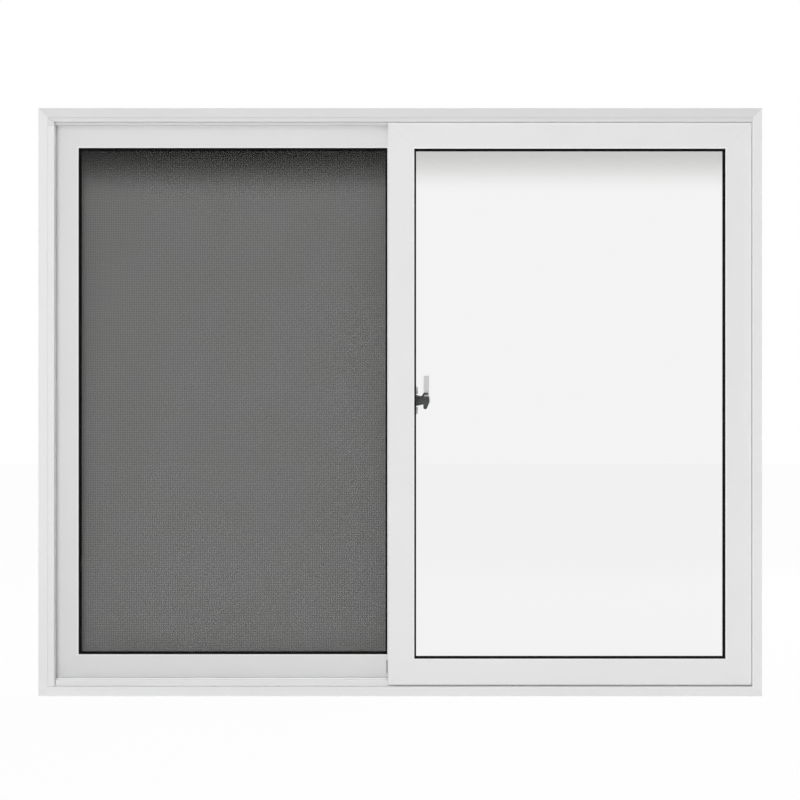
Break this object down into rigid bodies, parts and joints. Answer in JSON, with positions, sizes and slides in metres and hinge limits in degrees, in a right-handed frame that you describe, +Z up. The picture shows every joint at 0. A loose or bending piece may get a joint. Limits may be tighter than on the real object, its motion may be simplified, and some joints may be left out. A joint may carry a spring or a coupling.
{
  "type": "two-panel sliding pvc window with insect screen",
  "caption": "Sliding window of white hollow profiles: mitred frame with rails, glazed sashes on rollers, crescent latch and a framed insect screen.",
  "frame": {"origin": "middle of the underside of the sill, on the bottom centre of the whole window", "axes": "+X along the window to the viewer's right, +Y through the wall away from the viewer, +Z up"},
  "size_m": [1.2, 0.1, 0.975],
  "materials": {
    "frame_pvc": "white extruded PVC, satin",
    "sash_pvc": "white extruded PVC, satin",
    "clear_glass": "clear float glass",
    "spacer_aluminium": "roll-formed mill aluminium",
    "mill_aluminium": "extruded mill aluminium",
    "screen_aluminium": "white powder coat on roll-formed aluminium",
    "gasket_rubber": "black synthetic rubber, matt",
    "black_nylon": "moulded black nylon",
    "pale_nylon": "moulded natural nylon",
    "grey_pile": "grey woven pile",
    "pale_zinc": "pale painted die-cast zinc",
    "dark_zinc": "dark grey painted die-cast zinc",
    "lever_plastic": "pale grey moulded plastic",
    "mesh_fibre": "dark grey coated glass-fibre mesh"
  },
  "bodies": {
    "root": {"frame_head": "frame_pvc", "frame_sill": "frame_pvc", "frame_left_jamb": "frame_pvc", "frame_right_jamb": "frame_pvc", "front_rail_cap": "mill_aluminium", "rear_rail_cap": "mill_aluminium", "track_fillers": "frame_pvc", "front_sash_top_rail": "sash_pvc", "front_sash_bottom_rail": "sash_pvc", "front_sash_meeting_stile": "sash_pvc", "front_sash_outer_stile": "sash_pvc", "rear_sash_top_rail": "sash_pvc", "rear_sash_bottom_rail": "sash_pvc", "rear_sash_meeting_stile": "sash_pvc", "rear_sash_outer_stile": "sash_pvc", "front_outer_pane": "clear_glass", "front_inner_pane": "clear_glass", "front_glass_spacer": "spacer_aluminium", "rear_outer_pane": "clear_glass", "rear_inner_pane": "clear_glass", "rear_glass_spacer": "spacer_aluminium", "front_gaskets": "gasket_rubber", "rear_gaskets": "gasket_rubber", "front_level_beads": "sash_pvc", "front_upright_beads": "sash_pvc", "rear_level_beads": "sash_pvc", "rear_upright_beads": "sash_pvc", "front_interlock": "sash_pvc", "rear_interlock": "sash_pvc", "front_roller_carriages": "black_nylon", "front_roller_wheels": "pale_nylon", "rear_roller_carriages": "black_nylon", "rear_roller_wheels": "pale_nylon", "front_brush_seals": "grey_pile", "rear_brush_seals": "grey_pile", "latch_base": "pale_zinc", "latch_cam": "dark_zinc", "latch_lever": "lever_plastic", "latch_keeper": "dark_zinc", "screen_top_bar": "screen_aluminium", "screen_bottom_bar": "screen_aluminium", "screen_left_bar": "screen_aluminium", "screen_right_bar": "screen_aluminium", "screen_mesh": "mesh_fibre", "screen_spline": "gasket_rubber"}
  },
  "joints": []
}
